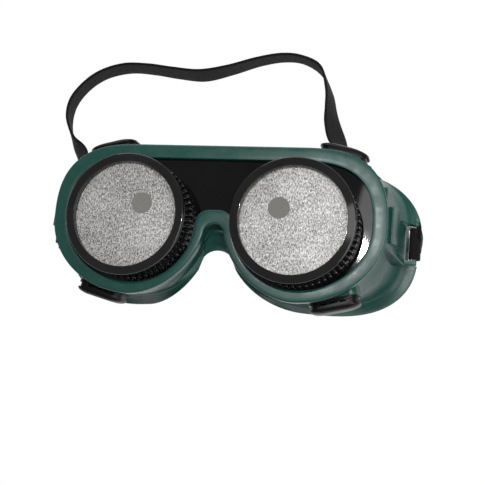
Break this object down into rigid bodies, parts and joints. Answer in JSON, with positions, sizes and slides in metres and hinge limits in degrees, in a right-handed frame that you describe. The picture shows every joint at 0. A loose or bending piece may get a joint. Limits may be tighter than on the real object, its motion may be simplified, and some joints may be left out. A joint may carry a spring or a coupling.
{
  "type": "tunnel vision simulation goggles",
  "caption": "Soft green goggles with two black screw rings, speckled view discs with a small clear spot, side vents and an elastic headband.",
  "frame": {"origin": "middle of the face plane, midway between the two lens axes, on the plane that the temples of the face flange rest on", "axes": "+Z the way the lenses look, +Y towards the brow, +X towards the temple on the right of the picture"},
  "size_m": [0.1922, 0.1364, 0.0672],
  "materials": {
    "soft_green_vinyl": "soft green vinyl with a satin skin",
    "black_plate": "glossy black moulded plate",
    "black_ring": "glossy black turned ring with satin teeth",
    "speckled_disc": "frosted disc with a dense silver grey speckle",
    "clear_lens": "clear, faintly grey",
    "gasket_rubber": "matt black soft rubber",
    "black_vent": "satin black moulded plastic",
    "elastic_webbing": "black woven elastic"
  },
  "bodies": {
    "goggles": {"goggle_body": "soft_green_vinyl", "lens_plate": "black_plate", "left_view_disc": "speckled_disc", "right_view_disc": "speckled_disc", "left_clear_lens": "clear_lens", "right_clear_lens": "clear_lens", "left_rear_gasket": "gasket_rubber", "right_rear_gasket": "gasket_rubber", "left_brow_vent_base": "black_vent", "right_brow_vent_base": "black_vent", "left_cheek_vent_base": "black_vent", "right_cheek_vent_base": "black_vent", "left_brow_vent_cover": "black_vent", "right_brow_vent_cover": "black_vent", "left_cheek_vent_cover": "black_vent", "right_cheek_vent_cover": "black_vent", "left_strap_loop": "elastic_webbing", "right_strap_loop": "elastic_webbing"},
    "left_seal": {"left_front_gasket": "gasket_rubber"},
    "left_ring": {"left_screw_ring": "black_ring"},
    "right_seal": {"right_front_gasket": "gasket_rubber"},
    "right_ring": {"right_screw_ring": "black_ring"},
    "band": {"headband": "elastic_webbing"},
    "adjuster": {"strap_adjuster": "black_vent"}
  },
  "joints": [
    {"name": "left_ring_lift", "type": "slide", "parent": "goggles", "child": "left_seal", "axis": [0, 0, 1], "range_m": [0, 0.00602]},
    {"name": "left_ring_turn", "type": "hinge", "parent": "left_seal", "child": "left_ring", "pos_m": [-0.039, 0, 0.055], "axis": [0, 0, 1], "range_deg": [0, 720]},
    {"name": "right_ring_lift", "type": "slide", "parent": "goggles", "child": "right_seal", "axis": [0, 0, 1], "range_m": [0, 0.00602]},
    {"name": "right_ring_turn", "type": "hinge", "parent": "right_seal", "child": "right_ring", "pos_m": [0.039, 0, 0.055], "axis": [0, 0, 1], "range_deg": [0, 720]},
    {"name": "headband_swing", "type": "hinge", "parent": "goggles", "child": "band", "pos_m": [0, -0.0008, 0.017], "axis": [1, 0, 0], "range_deg": [-95, 0]},
    {"name": "adjuster_slide", "type": "slide", "parent": "band", "child": "adjuster", "axis": [0.8466, -0.5322, 0], "range_m": [-0.004, 0.004]}
  ],
  "couplings": [
    {"joint": "left_ring_lift", "follows": "left_ring_turn", "m_per_rad": 0.00047746},
    {"joint": "right_ring_lift", "follows": "right_ring_turn", "m_per_rad": 0.00047746}
  ]
}
